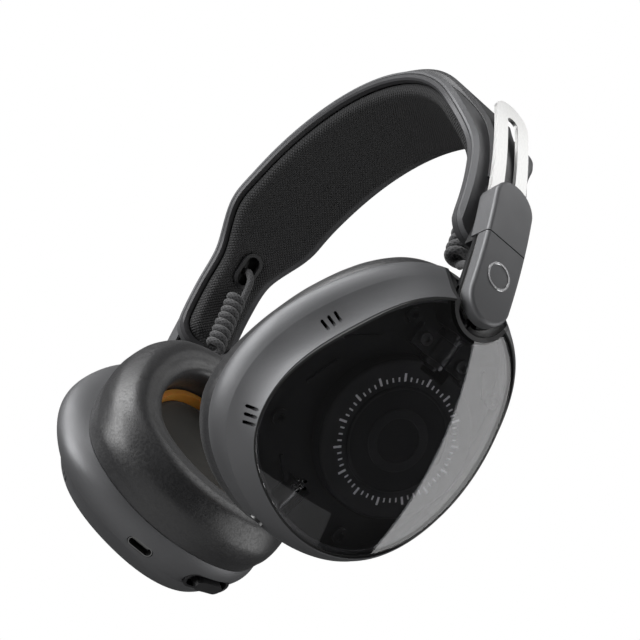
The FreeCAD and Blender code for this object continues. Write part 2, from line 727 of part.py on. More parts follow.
def socket_space(grow):
    """Ball and flare that the arm's end needs, turned about the swivel axis."""
    radius = DISH_R + grow
    centre = Vector(0, PIVOT_Y, STEM_Z)
    keep = Part.makeBox(FAR, FAR, FAR, Vector(-FAR / 2, DISH_FLOOR - grow, STEM_Z - FAR / 2))
    ball = Part.makeSphere(radius, centre).common(keep)
    flare = Part.makeCone(radius, radius + DISH_FLARE, DISH_FLARE_LENGTH, centre, Y)
    return ball.fuse(flare)


def dish():
    """The same space with the moulded socket's wall and its gap."""
    return socket_space(DISH_T + FIT)


def cup_volume():
    """The whole outer form of the shell, from the seat to the window's dome."""
    return outline_loft([(SEAT, 0, SEAT_Z), (WIDEST, 0, WIDEST_Z), (PARTING, 0, RING_Z)])


def ring_volume():
    """The outer form of the ring, from the parting line to the window's edge."""
    return outline_loft([(PARTING, 0, RING_Z), (WINDOW,) + RING_SHOULDER, (WINDOW,) + RING_LIP])


def make_ring():
    inner = outline_loft([(PARTING, -WALL, RING_Z - 0.1), (WINDOW,) + RING_INNER_TOP])
    rebate = outline_prism(WINDOW, REBATE, REBATE_Z, 6)
    through = outline_prism(WINDOW, -LENS_LEDGE, -6, 6)
    ring = ring_volume().cut(inner).cut(rebate).cut(through).cut(dish())
    for x, y in vents():
        ring = ring.cut(vent_tool(x, y))
    return ring


def vents():
    """Centres of the vent slots: two groups of three along the ring's front edge."""
    centres = []
    for x, y in VENT_GROUPS:
        along = Vector(y, -x, 0)
        along.normalize()
        for step in (-1, 0, 1):
            centres.append((x + along.x * VENT_PITCH * step, y + along.y * VENT_PITCH * step))
    return centres


def vent_tool(x, y):
    slot = stadium(VENT_HALF_LENGTH, VENT_HALF_WIDTH, -9, 3)
    slot.rotate(ORIGIN, Z, math.degrees(math.atan2(y, x)))
    slot.translate(Vector(x, y, 0))
    return slot


def make_housing(side):
    outer = cup_volume()
    inner = outline_loft([(SEAT, -WALL, SEAT_Z - 0.1), (WIDEST, -WALL, WIDEST_Z),
                          (PARTING, -WALL, RING_Z + 0.1)])
    flange = outline_prism(SEAT, -WALL + 0.1, SEAT_Z, SEAT_Z + FLANGE_T)
    flange = flange.cut(outline_prism(SEAT, -WALL - FLANGE_REACH, SEAT_Z - 1, SEAT_Z + 3))
    housing = outer.cut(inner).fuse(flange).cut(dish())
    housing = housing.cut(in_port_frame(port_tool(side)))
    if side == "right":
        housing = housing.cut(in_key_frame(stadium(*KEY_HOLE, -6, 6)))
    return housing


def wall_frame(shape, x_place, z_place):
    """Put a shape on the lower wall: its z points out of the wall and its x runs along it."""
    wall = outline(WIDEST, 0, z_place)
    probe = Part.LineSegment(Vector(x_place, -10, z_place), Vector(x_place, -FAR, z_place)).toShape()
    point = wall.distToShape(probe)[1][0][0]
    edge = wall.Edges[0]
    tangent = edge.tangentAt(edge.Curve.parameter(point))
    if tangent.x < 0:
        tangent = tangent * -1
    out = Vector(tangent.y, -tangent.x, 0)
    return placed(shape, point, tangent, out.cross(tangent), out)


def in_port_frame(shape):
    return wall_frame(shape, PORT_X, PORT_Z)


def in_key_frame(shape):
    return wall_frame(shape, KEY_X, PORT_Z)


def port_tool(side):
    if side == "left":
        return Part.makeCylinder(JACK_HOLE_R, 12, Vector(0, 0, -6))
    return stadium(USB_HALF_W + USB_HOLE_EXTRA, USB_HALF_H + USB_HOLE_EXTRA, -6, 6)


def make_port(side):
    """The left cup has the audio socket and the right cup the charging socket."""
    if side == "left":
        body = Part.makeCylinder(JACK_BODY_R, JACK_LENGTH, Vector(0, 0, -JACK_LENGTH - JACK_NOSE))
        nose = Part.makeCylinder(JACK_NOSE_R, JACK_NOSE - JACK_PROUD, Vector(0, 0, -JACK_NOSE))
        jack = body.fuse(nose)
        jack = jack.cut(Part.makeCylinder(JACK_R, JACK_LENGTH + 4, Vector(0, 0, -JACK_LENGTH - 1)))
        save_cup("audio_jack", in_port_frame(jack), side)
        return
    floor = USB_BACK_T - USB_DEPTH
    shell = stadium(USB_HALF_W, USB_HALF_H, -USB_DEPTH, -USB_IN)
    shell = shell.cut(stadium(USB_HALF_W - USB_WALL, USB_HALF_H - USB_WALL, floor, 2))
    width, thickness, length = TONGUE
    tongue = Part.makeBox(width, thickness, length, Vector(-width / 2, -thickness / 2, floor - 0.2))
    save_cup("usb_c_socket", in_port_frame(shell.fuse(tongue)), side)


def make_controls():
    """The right cup's oval recess with its bezel and rocker."""
    bezel = stadium(*BEZEL, *BEZEL_Z).cut(stadium(*RECESS, RECESS_FLOOR, 2))
    bezel = bezel.cut(stadium(*STALK_HOLE, -9, 9))
    save_cup("rocker_bezel", in_key_frame(bezel), "right")
    cap = stadium(*ROCKER, *ROCKER_Z)
    stalk = Part.makeCylinder(STALK_R, ROCKER_Z[0] - STALK_END + 0.2, Vector(0, 0, STALK_END))
    save_cup("volume_rocker", in_key_frame(cap.fuse(stalk)), "right")


def make_lens():
    body = outline_prism(WINDOW, 0, REBATE_Z + FIT, 8).common(dome(0)).cut(dome(-LENS_T))
    body = body.cut(dish())
    centre = Vector(MIC_CENTRE[0], MIC_CENTRE[1], -4)
    body = body.cut(Part.makeCylinder(MIC_R, 12, centre))
    for k in range(MIC_COUNT):
        turn = 2 * math.pi * k / MIC_COUNT
        place = centre + Vector(math.cos(turn), math.sin(turn), 0) * MIC_RING
        body = body.cut(Part.makeCylinder(MIC_R, 12, place))
    return body


def make_gasket():
    band = outline_prism(WINDOW, GASKET_OUT, REBATE_Z + FIT, 6)
    band = band.cut(outline_prism(WINDOW, GASKET_IN, -3, 7))
    return band.common(dome(GASKET_PROUD)).cut(dish())


def make_socket():
    space = socket_space(DISH_T).cut(socket_space(0))
    space = space.cut(Part.makeCylinder(STEM_R + FIT, 20, Vector(0, 20, STEM_Z), Y))
    limit = cup_volume().fuse(ring_volume())
    limit = limit.fuse(outline_prism(WINDOW, 0, -6, 8).common(dome(0)))
    return space.common(limit)


def make_stem():
    barrel = Part.makeCylinder(BARREL_R, 2 * BARREL_HALF,
                               Vector(-BARREL_HALF, PIVOT_Y, STEM_Z), X)
    bottom = BRACKET_Y - BRACKET_HALF_Y - 2.6
    shaft = Part.makeCylinder(STEM_R, PIVOT_Y - bottom, Vector(0, bottom, STEM_Z), Y)
    stem = barrel.fuse(shaft)
    for low in (bottom + 0.9, BRACKET_Y + BRACKET_HALF_Y + GAP):
        collar = Part.makeCylinder(STEM_R + COLLAR_EXTRA, COLLAR_T, Vector(0, low, STEM_Z), Y)
        stem = stem.fuse(collar)
    return stem.cut(Part.makeCylinder(PIN_R + FIT, 20, Vector(-10, PIVOT_Y, STEM_Z), X))


def make_bracket():
    low = CHASSIS_Z
    near_y = BRACKET_Y - BRACKET_HALF_Y
    block = Part.makeBox(2 * BRACKET_HALF_X, 2 * BRACKET_HALF_Y, BRACKET_T,
                         Vector(-BRACKET_HALF_X, near_y, low))
    hump = Part.makeCylinder(STEM_R + COLLAR_EXTRA, 2 * BRACKET_HALF_Y,
                             Vector(0, near_y, STEM_Z), Y)
    above = Part.makeBox(FAR, FAR, FAR, Vector(-FAR / 2, BRACKET_Y - FAR / 2, low))
    bracket = block.fuse(hump.common(above)).removeSplitter()
    bracket = bracket.cut(Part.makeCylinder(STEM_R + FIT, 30, Vector(0, BRACKET_Y - 15, STEM_Z), Y))
    for x in (-BRACKET_SCREW_X, BRACKET_SCREW_X):
        hole = Part.makeCylinder(BRACKET_SCREW_R + FIT, 10, Vector(x, BRACKET_Y, low - 2))
        bracket = bracket.cut(hole)
    return bracket


def make_bracket_screws():
    screws = []
    top = CHASSIS_Z + BRACKET_T
    for x in (-BRACKET_SCREW_X, BRACKET_SCREW_X):
        shank = Part.makeCylinder(BRACKET_SCREW_R, BRACKET_SCREW_LENGTH,
                                  Vector(x, BRACKET_Y, top - BRACKET_SCREW_LENGTH))
        head = Part.makeCylinder(BRACKET_HEAD_R, BRACKET_HEAD_T, Vector(x, BRACKET_Y, top))
        head = head.makeChamfer(0.3, [e for e in head.Edges if e.BoundBox.ZMin > top + 1])
        socket = hexagon(HEX_R, x, BRACKET_Y, top + 0.5, 2)
        screws.append(shank.fuse(head).cut(socket))
    return Part.makeCompound(screws)


def hexagon(radius, x, y, low, height):
    points = []
    for k in range(6):
        turn = math.radians(60 * k)
        points.append(Vector(x + radius * math.cos(turn), y + radius * math.sin(turn), low))
    return prism(polygon(points), Vector(0, 0, height))


def make_chassis():
    """Moulded frame under the window: a plate with stiffening arms and bosses."""
    plate = outline_prism(WINDOW, -CHASSIS_INSET, CHASSIS_Z - CHASSIS_T, CHASSIS_Z)
    plate = plate.cut(Part.makeCylinder(DRIVER_HOUSE_R + 0.2, 20, Vector(DISC_X, 0, -15)))
    plate = plate.cut(socket_space(DISH_T + GAP))
    trough = Part.makeCylinder(STEM_R + 0.4, 40, Vector(0, 16, STEM_Z), Y)
    collar_space = Part.makeCylinder(STEM_R + COLLAR_EXTRA + 0.3, 16,
                                     Vector(0, BRACKET_Y - 7, STEM_Z), Y)
    chassis = plate.cut(trough).cut(collar_space)
    for x, y, length, turn in CHASSIS_RIBS:
        rib = stadium(length, RIB_HALF_WIDTH, CHASSIS_Z - SUNK, CHASSIS_Z + RIB_HEIGHT)
        rib.rotate(ORIGIN, Z, turn)
        rib.translate(Vector(x, y, 0))
        chassis = chassis.fuse(rib)
    for x, y in CHASSIS_BOSSES:
        boss = Part.makeCylinder(BOSS_R, BOSS_HEIGHT + SUNK, Vector(x, y, CHASSIS_Z - SUNK))
        hole = Part.makeCylinder(BRACKET_SCREW_R, 9, Vector(x, y, CHASSIS_Z - 4))
        chassis = chassis.fuse(boss).cut(hole)
    for x in (-BRACKET_SCREW_X, BRACKET_SCREW_X):
        hole = Part.makeCylinder(BRACKET_SCREW_R + FIT, 9, Vector(x, BRACKET_Y, CHASSIS_Z - 4))
        chassis = chassis.cut(hole)
    return chassis.cut(in_port_frame(stadium(*SOCKET_ROOM, -SOCKET_DEPTH, 6)))


def round_block(radius, low, high):
    """A cylinder on the driver's axis."""
    return Part.makeCylinder(radius, high - low, Vector(DISC_X, 0, low))


def make_driver_parts(side):
    base = SEAT_Z + GAP
    house_top = base + DRIVER_HOUSE_DEPTH
    house = round_block(DRIVER_HOUSE_R, base, house_top)
    house = house.makeFillet(DRIVER_HOUSE_ROUND,
                             [e for e in house.Edges if e.BoundBox.ZMin > house_top - 1])
    bore = round_block(DRIVER_HOUSE_R - DRIVER_HOUSE_WALL, SEAT_Z, house_top - DRIVER_HOUSE_WALL)
    house = house.cut(bore).cut(round_block(BADGE_R + GAP, BADGE_Z, 0))
    house = house.cut(socket_space(DISH_T + GAP))
    stem_room = Part.makeBox(2 * STEM_R + 4, 30, 9, Vector(-STEM_R - 2, BRACKET_Y - 8, STEM_Z - 4))
    save_cup("driver_housing", house.cut(stem_room), side)
    save_cup("centre_disc", round_block(BADGE_R, BADGE_Z, BADGE_Z + BADGE_T), side)
    floor = base + BASKET_DEPTH
    basket = round_block(BASKET_R, base, floor)
    basket = basket.cut(round_block(BASKET_R - BASKET_RIM, SEAT_Z - 1, floor - BASKET_FLOOR))
    magnet = round_block(MAGNET_R, floor, floor + MAGNET_DEPTH)
    magnet = magnet.cut(round_block(MAGNET_BORE_R, SEAT_Z, 0))
    low = SEAT_Z + DIAPHRAGM_Z
    diaphragm = round_block(BASKET_R - BASKET_RIM - GAP, low, low + DIAPHRAGM_T)
    save_cup("driver_unit", Part.makeCompound([basket, magnet, diaphragm]), side)


def make_board(side):
    board = outline_prism(SEAT, -BOARD_INSET, BOARD_Z, BOARD_Z + BOARD_T)
    board = board.cut(round_block(DRIVER_HOUSE_R + 0.6, BOARD_Z - 4, BOARD_Z + 5))
    board = board.cut(Part.makeBox(2 * FAR, FAR, 20, Vector(-FAR, BOARD_TOP_Y, BOARD_Z - 8)))
    board = board.cut(in_port_frame(stadium(*PORT_ROOM, -18, 6)))
    save_cup("circuit_board", board, side)


def make_battery():
    cell = Part.makeBox(*CELL_SIZE, Vector(*CELL_CORNER))
    long_edges = [e for e in cell.Edges if abs(e.BoundBox.YLength - CELL_SIZE[1]) < 0.1]
    cell = cell.makeFillet(CELL_ROUND, long_edges)
    save_cup("battery", cell, "right")


def make_baffle():
    top = SEAT_Z - 0.02
    low = top - BAFFLE_T
    plate = outline_prism(SEAT, -BAFFLE_INSET, low, top)
    plate = plate.cut(outline_prism(EAR, -BAFFLE_OPENING, low - 1, top + 1))
    bridge = round_block(BRIDGE_OUTER_R, low, top).cut(round_block(BRIDGE_INNER_R, low - 1, top + 1))
    bridge = bridge.common(outline_prism(EAR, 0.3 - BAFFLE_OPENING, low - 1, top + 1))
    return plate.fuse(bridge).removeSplitter()


def make_soft_parts(side):
    base = SEAT_Z - BAFFLE_T - CUSHION_GAP
    outer = outline_loft([(SEAT, grow, base - depth) for grow, depth in CUSHION_SECTIONS])
    hole = outline_loft([(EAR, grow, base - depth) for grow, depth in CUSHION_HOLE])
    save_cup("cushion", outer.cut(hole), side)
    ring = outline_prism(EAR, EAR_RING_OUT, base - EAR_RING_DEPTH, base + EAR_RING_BACK)
    ring = ring.cut(outline_prism(EAR, EAR_RING_IN, base - EAR_RING_DEPTH - 1, base + 1))
    save_cup("ear_ring", ring, side)
    cloth = outline_prism(EAR, -CLOTH_INSET, base - CLOTH_GAP - CLOTH_T, base - CLOTH_GAP)
    save_cup("driver_cloth", cloth, side)


def make_cup(side):
    save_cup("front_ring", make_ring(), side)
    save_cup("cup_housing", make_housing(side), side)
    save_cup("lens", make_lens(), side)
    save_cup("lens_gasket", make_gasket(), side)
    save_cup("stem_socket", make_socket(), side)
    save_cup("swivel_stem", make_stem(), side)
    save_cup("stem_bracket", make_bracket(), side)
    save_cup("bracket_screws", make_bracket_screws(), side)
    save_cup("chassis", make_chassis(), side)
    save_cup("baffle", make_baffle(), side)
    make_driver_parts(side)
    make_board(side)
    make_soft_parts(side)
    make_port(side)


def main():
    os.makedirs("parts", exist_ok=True)
    make_band_shell()
    make_rim_frame()
    make_spring_strip()
    make_spine_cover()
    make_head_pad()
    make_eyelets()
    make_slider_plate()
    make_slider_caps()
    make_slider_guides()
    make_outer_covers()
    make_inner_covers()
    make_curly_leads()
    for side in SIDES:
        make_cup(side)
    make_controls()
    make_battery()


main()
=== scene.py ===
import json
import math

import bmesh
import bpy
import numpy as np
from mathutils import Matrix, Vector, noise
from mathutils.bvhtree import BVHTree


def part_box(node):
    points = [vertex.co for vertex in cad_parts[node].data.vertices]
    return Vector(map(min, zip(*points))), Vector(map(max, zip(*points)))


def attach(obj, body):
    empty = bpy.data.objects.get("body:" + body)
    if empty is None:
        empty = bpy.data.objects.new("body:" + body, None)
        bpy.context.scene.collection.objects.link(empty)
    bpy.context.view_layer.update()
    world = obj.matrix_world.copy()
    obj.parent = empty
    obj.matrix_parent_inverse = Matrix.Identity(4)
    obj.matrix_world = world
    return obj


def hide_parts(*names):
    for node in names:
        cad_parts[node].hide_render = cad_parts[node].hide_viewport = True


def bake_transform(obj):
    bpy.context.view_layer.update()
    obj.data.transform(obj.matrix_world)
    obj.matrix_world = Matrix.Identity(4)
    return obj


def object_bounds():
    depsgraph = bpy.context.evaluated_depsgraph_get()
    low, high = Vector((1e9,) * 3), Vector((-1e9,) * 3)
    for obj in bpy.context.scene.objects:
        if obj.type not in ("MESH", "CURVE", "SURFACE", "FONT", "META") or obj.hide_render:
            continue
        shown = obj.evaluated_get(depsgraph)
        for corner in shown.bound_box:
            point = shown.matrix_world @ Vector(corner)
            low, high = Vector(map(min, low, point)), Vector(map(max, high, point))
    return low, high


# Over-ear headphones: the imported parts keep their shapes, and the soft parts, leads, printed marks
# and finishes are made here. Metres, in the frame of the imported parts.

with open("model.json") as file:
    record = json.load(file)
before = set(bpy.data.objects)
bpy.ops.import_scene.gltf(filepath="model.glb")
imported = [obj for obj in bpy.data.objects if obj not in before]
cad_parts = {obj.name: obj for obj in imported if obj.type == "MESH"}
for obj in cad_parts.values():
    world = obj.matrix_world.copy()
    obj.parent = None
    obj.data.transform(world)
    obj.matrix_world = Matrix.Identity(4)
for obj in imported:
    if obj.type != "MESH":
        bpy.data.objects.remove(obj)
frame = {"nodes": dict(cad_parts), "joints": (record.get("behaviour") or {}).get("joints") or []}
cad_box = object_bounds()
NODES = frame["nodes"]
JOINTS = {joint["name"]: joint for joint in frame["joints"]}
SIDES = {"left": 1, "right": -1}
MM = 0.001

# headband
BAND_RADIUS = 72.6 * MM
CROWN_Z = 6.0 * MM
BAND_CENTRE = Vector((0, 0, CROWN_Z - BAND_RADIUS))
PAD_LOW = -6.0 * MM
PAD_HIGH = -1.4 * MM
EYELET_ANGLE = 68.0
EYELET_HALF_LENGTH = 7.0 * MM
EYELET_HALF_WIDTH = 4.0 * MM
EYELET_FLOOR = 2.6 * MM

# curly lead
WIRE_RADIUS = 1.3 * MM
COIL_RADIUS = 2.55 * MM
COIL_TURNS = 8.0
COIL_TOP = Vector((61.3, 0, -53.4)) * MM
COIL_BOTTOM = Vector((62.2, 0, -76.0)) * MM
COIL_WOBBLE = 0.12 * MM
ARM_HOLE = Vector((74.85, 0, -80.9)) * MM
STEPS_PER_TURN = 28
LEAD_STEPS = 10                # between the guide points before and after the coil


# ------------------------------------------------------------------ helpers

def link_object(name, mesh):
    piece = bpy.data.objects.new(name, mesh)
    bpy.context.scene.collection.objects.link(piece)
    return piece


def face_outwards(mesh, fill_holes=False):
    edit = bmesh.new()
    edit.from_mesh(mesh)
    if fill_holes:
        holes = [e for e in edit.edges if e.is_boundary]
        bmesh.ops.holes_fill(edit, edges=holes, sides=0)
    bmesh.ops.recalc_face_normals(edit, faces=edit.faces)
    edit.to_mesh(mesh)
    edit.free()


def grid_object(name, rows, uvs=None, close_rows=False, close_columns=False, caps=False):
    """A smooth mesh through rows of points, with quads between them."""
    count, width = len(rows), len(rows[0])
    vertices = [tuple(point) for row in rows for point in row]
    faces, corners = [], []
    for i in range(count if close_rows else count - 1):
        for j in range(width if close_columns else width - 1):
            i2, j2 = i + 1, j + 1
            faces.append([i * width + j, (i2 % count) * width + j,
                          (i2 % count) * width + j2 % width, i * width + j2 % width])
            corners.append([(i, j), (i2, j), (i2, j2), (i, j2)])
    if caps:
        faces.append(list(range(width)))
        faces.append([(count - 1) * width + j for j in range(width)])
        corners.append([(0, j) for j in range(width)])
        corners.append([(count - 1, j) for j in range(width)])
    mesh = bpy.data.meshes.new(name)
    mesh.from_pydata(vertices, [], faces)
    if uvs is not None:
        layer = mesh.uv_layers.new(name="UVMap")
        for polygon, places in zip(mesh.polygons, corners):
            for loop, (i, j) in zip(polygon.loop_indices, places):
                layer.data[loop].uv = uvs(i, j)
    face_outwards(mesh)
    mesh.polygons.foreach_set("use_smooth", [True] * len(mesh.polygons))
    return link_object(name, mesh)


def smooth_step(value):
    value = min(1.0, max(0.0, value))
    return value * value * (3 - 2 * value)


def spline(points, steps):
    """Points on an open Catmull-Rom curve through the given ones."""
    points = [np.array(p, float) for p in points]
    count = len(points)
    result = []
    for i in range(count - 1):
        a, b = points[max(i - 1, 0)], points[i]
        c, d = points[i + 1], points[min(i + 2, count - 1)]
        for k in range(steps):
            t = k / steps
            result.append(0.5 * (2 * b + (c - a) * t + (2 * a - 5 * b + 4 * c - d) * t ** 2
                                 + (3 * b - a - 3 * c + d) * t ** 3))
    result.append(points[-1])
    return result


def tube_object(name, points, radius, sides=14):
    """A round tube that follows points close together, with its length along U in metres."""
    points = [Vector(p) for p in points]
    lengths = [0.0]
    for a, b in zip(points, points[1:]):
        lengths.append(lengths[-1] + (b - a).length)
    rows = []
    tangent = (points[1] - points[0]).normalized()
    normal = tangent.orthogonal().normalized()
    for i, point in enumerate(points):
        ahead = points[min(i + 1, len(points) - 1)] - points[max(i - 1, 0)]
        new_tangent = ahead.normalized()
        normal = tangent.rotation_difference(new_tangent) @ normal
        tangent = new_tangent
        other = tangent.cross(normal)
        rows.append([point + (normal * math.cos(2 * math.pi * k / sides)
                              + other * math.sin(2 * math.pi * k / sides)) * radius
                     for k in range(sides)])
    around = 2 * math.pi * radius / sides
    return grid_object(name, rows, lambda i, j: (lengths[i], j * around), close_columns=True,
                       caps=True)


def node_tree(name):
    """A ray-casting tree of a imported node."""
    mesh = NODES[name].data
    return BVHTree.FromPolygons([v.co for v in mesh.vertices],
                                [list(p.vertices) for p in mesh.polygons])


PUFF_FRAMES = 20


def puff(piece, pinned, pressure, cap):
    """Swell a closed mesh with a cloth simulation, and keep each point within cap of its start."""
    start = np.array([v.co for v in piece.data.vertices])
    group = piece.vertex_groups.new(name="pinned")
    group.add(pinned, 1.0, "REPLACE")
    modifier = piece.modifiers.new("puff", "CLOTH")
    settings = modifier.settings
    settings.quality = 6
    settings.mass = 0.2
    settings.tension_stiffness = 25
    settings.compression_stiffness = 25
    settings.shear_stiffness = 10
    settings.bending_stiffness = 1.2
    settings.use_pressure = True
    settings.uniform_pressure_force = pressure
    settings.effector_weights.gravity = 0
    settings.vertex_group_mass = "pinned"
    scene = bpy.context.scene
    modifier.point_cache.frame_end = PUFF_FRAMES
    for step in range(1, PUFF_FRAMES + 1):
        scene.frame_set(step)
    shaped = piece.evaluated_get(bpy.context.evaluated_depsgraph_get()).to_mesh()
    moved = np.array([v.co for v in shaped.vertices]) - start
    piece.modifiers.remove(modifier)
    piece.vertex_groups.remove(group)
    distance = np.linalg.norm(moved, axis=1)
    scale = np.minimum(1.0, cap / np.maximum(distance, 1e-9))
    piece.data.vertices.foreach_set("co", (start + moved * scale[:, None]).ravel())
    piece.data.update()
    scene.frame_set(1)


def subdivide(piece):
    modifier = piece.modifiers.new("smooth", "SUBSURF")
    modifier.levels = 1
    modifier.render_levels = 1


# ------------------------------------------------------------------ materials

class Finish:
    """A material with its Principled shader and short ways to add nodes."""

    def __init__(self, name, color, roughness, metallic=0.0):
        self.material = bpy.data.materials.new(name)
        self.material.use_nodes = True
        self.material.diffuse_color = (*color, 1)
        self.tree = self.material.node_tree
        self.shader = self.tree.nodes["Principled BSDF"]
        self.set("Base Color", (*color, 1))
        self.set("Roughness", roughness)
        self.set("Metallic", metallic)
        self.color = color
        self.height = None

    def set(self, socket, value):
        self.shader.inputs[socket].default_value = value

    def node(self, kind, values=None, **settings):
        made = self.tree.nodes.new(kind)
        for key, value in settings.items():
            setattr(made, key, value)
        for key, value in (values or {}).items():
            if isinstance(value, bpy.types.NodeSocket):
                self.tree.links.new(value, made.inputs[key])
            else:
                made.inputs[key].default_value = value
        return made

    def math(self, operation, a, b=0.0):
        return self.node("ShaderNodeMath", {0: a, 1: b}, operation=operation).outputs[0]

    def coordinates(self, kind="Object", scale=(1, 1, 1)):
        source = self.node("ShaderNodeTexCoord").outputs[kind]
        return self.node("ShaderNodeMapping", {"Vector": source, "Scale": scale}).outputs["Vector"]

    def noise(self, size, detail=2.0, vector=None, roughness=0.5):
        """Noise whose features are about size metres across."""
        values = {"Scale": 1.0 / size, "Detail": detail, "Roughness": roughness,
                  "Vector": vector or self.coordinates()}
        return self.node("ShaderNodeTexNoise", values).outputs["Fac"]

    def spread(self, factor, low, high, from_low=0.3, from_high=0.7):
        values = {"Value": factor, "From Min": from_low, "From Max": from_high, "To Min": low,
                  "To Max": high}
        return self.node("ShaderNodeMapRange", values).outputs["Result"]

    def tint(self, factor, dark, light):
        """Base colour between two multiples of the finish's own colour."""
        mix = self.node("ShaderNodeMix", data_type="RGBA")
        mix.inputs[6].default_value = (*[c * dark for c in self.color], 1)
        mix.inputs[7].default_value = (*[c * light for c in self.color], 1)
        self.tree.links.new(factor, mix.inputs[0])
        self.tree.links.new(mix.outputs[2], self.shader.inputs["Base Color"])

    def rough(self, factor, low, high):
        self.tree.links.new(self.spread(factor, low, high), self.shader.inputs["Roughness"])

    def bump(self, height, distance, strength=1.0):
        values = {"Height": height, "Distance": distance, "Strength": strength}
        if self.height is not None:
            values["Normal"] = self.height
        made = self.node("ShaderNodeBump", values)
        self.height = made.outputs["Normal"]
        self.tree.links.new(self.height, self.shader.inputs["Normal"])


GRAIN_SIZE = 0.25 * MM
GRAIN_DEPTH = 0.008 * MM


def satin(name, color, roughness, metallic, gloss=0.5):
    """Moulded plastic or metallic paint: fine grain, faint large-scale variation."""
    finish = Finish(name, color, roughness, metallic)
    fine = finish.noise(GRAIN_SIZE, 3.0)
    broad = finish.noise(14 * MM, 2.0)
    finish.tint(finish.math("MULTIPLY_ADD", fine, 0.5), 0.8, 1.25)
    finish.rough(broad, roughness - 0.04, roughness + 0.05)
    finish.bump(fine, GRAIN_DEPTH)
    finish.set("Specular IOR Level", gloss)
    return finish.material


def steel(name, color, roughness):
    """Bead-blasted stainless sheet with faint lengthwise streaks."""
    finish = Finish(name, color, roughness, 1.0)
    blast = finish.noise(0.16 * MM, 3.0)
    streaks = finish.noise(0.5 * MM, 2.0, finish.coordinates(scale=(1, 1, 0.04)))
    finish.tint(streaks, 0.80, 1.08)
    finish.rough(streaks, roughness - 0.04, roughness + 0.05)
    finish.bump(blast, 0.0012 * MM)
    return finish.material


def leatherette():
    """Soft protein leather: pebbled grain in two sizes, soft sheen."""
    finish = Finish("leatherette", (0.018, 0.018, 0.019), 0.40)
    cells = finish.node("ShaderNodeTexVoronoi", {"Scale": 1.0 / (0.75 * MM), "Randomness": 0.9,
                                                 "Vector": finish.coordinates()},
                        feature="SMOOTH_F1")
    fine = finish.noise(0.3 * MM, 3.0)
    broad = finish.noise(9 * MM, 3.0)
    finish.tint(broad, 0.85, 1.25)
    finish.rough(cells.outputs["Distance"], 0.36, 0.50)
    finish.bump(cells.outputs["Distance"], 0.035 * MM, 0.8)
    finish.bump(fine, 0.012 * MM)
    finish.set("Sheen Weight", 0.05)
    finish.set("Sheen Roughness", 0.4)
    finish.set("Specular IOR Level", 0.65)
    return finish.material


WEAVE_PITCH = 1.35 * MM
STRANDS = 6                    # strands of the braid each way round


def woven_mesh():
    """Coarse woven pad cover: offset rows of raised cells, with painted shade making the holes
    between them nearly black.
    """
    finish = Finish("woven_mesh", (0.008, 0.008, 0.009), 0.75)
    uv = finish.node("ShaderNodeSeparateXYZ", {0: finish.coordinates("UV")})
    along, across = uv.outputs[0], uv.outputs[1]
    pitch = math.pi / WEAVE_PITCH
    a = finish.math("MULTIPLY", finish.math("ADD", along, across), pitch)
    b = finish.math("MULTIPLY", finish.math("SUBTRACT", along, across), pitch)
    wave = finish.math("MULTIPLY", finish.math("SINE", a), finish.math("SINE", b))
    cell = finish.math("ABSOLUTE", wave)
    fibres = finish.noise(0.12 * MM, 3.0)
    raised = finish.math("ADD", cell, finish.math("MULTIPLY", fibres, 0.35))
    # painted shade: base colour near black in the holes between cells, lighter on the raised cells
    finish.tint(finish.spread(cell, 0.0, 1.0, 0.12, 0.65), 0.02, 1.7)
    finish.bump(raised, 0.40 * MM)
    finish.set("Sheen Weight", 0.05)
    return finish.material


def braid():
    """Braided sleeve: crossing strands along and round the wire, with painted shade in the grooves
    between strands and random fibre tone.
    """
    finish = Finish("braid", (0.030, 0.030, 0.032), 0.7)
    uv = finish.node("ShaderNodeSeparateXYZ", {0: finish.coordinates("UV")})
    along, around = uv.outputs[0], uv.outputs[1]
    pitch = STRANDS / WIRE_RADIUS
    a = finish.math("MULTIPLY", finish.math("ADD", along, around), pitch)
    b = finish.math("MULTIPLY", finish.math("SUBTRACT", along, around), pitch)
    wave = finish.math("MAXIMUM", finish.math("SINE", a), finish.math("SINE", b))
    fibres = finish.noise(0.08 * MM, 2.0)
    raised = finish.math("ADD", wave, fibres)
    # painted shade: base colour darker in the grooves between strands, with random fibre tone on top
    finish.tint(finish.spread(raised, 0.0, 1.0, 0.2, 1.5), 0.35, 1.5)
    finish.bump(raised, 0.06 * MM)
    finish.set("Sheen Weight", 0.2)
    return finish.material


def felt():
    """Thin felted cloth over the driver."""
    finish = Finish("driver_cloth", (0.026, 0.025, 0.021), 0.90)
    fibres = finish.noise(0.35 * MM, 5.0, roughness=0.7)
    clouds = finish.noise(5 * MM, 2.0)
    finish.tint(finish.math("MULTIPLY_ADD", fibres, clouds), 0.6, 1.4)
    finish.bump(fibres, 0.05 * MM)
    finish.set("Sheen Weight", 0.12)
    return finish.material


def smoked_glass():
    finish = Finish("smoked_window", (0.68, 0.68, 0.70), 0.004)
    smudge = finish.noise(20 * MM, 2.0)
    finish.rough(smudge, 0.002, 0.008)
    finish.set("Transmission Weight", 1.0)
    finish.set("IOR", 1.49)
    finish.set("Coat Weight", 0.3)
    finish.set("Coat Roughness", 0.01)
    return finish.material


def amber():
    finish = Finish("amber", (0.62, 0.27, 0.045), 0.34)
    finish.tint(finish.noise(6 * MM, 2.0), 0.8, 1.15)
    finish.bump(finish.noise(0.4 * MM, 3.0), 0.006 * MM)
    finish.set("Subsurface Weight", 0.25)
    finish.set("Subsurface Scale", 0.004)
    return finish.material


def rubber():
    finish = Finish("rubber", (0.009, 0.009, 0.009), 0.6)
    finish.bump(finish.noise(0.3 * MM, 3.0), 0.01 * MM)
    finish.rough(finish.noise(5 * MM), 0.5, 0.66)
    return finish.material


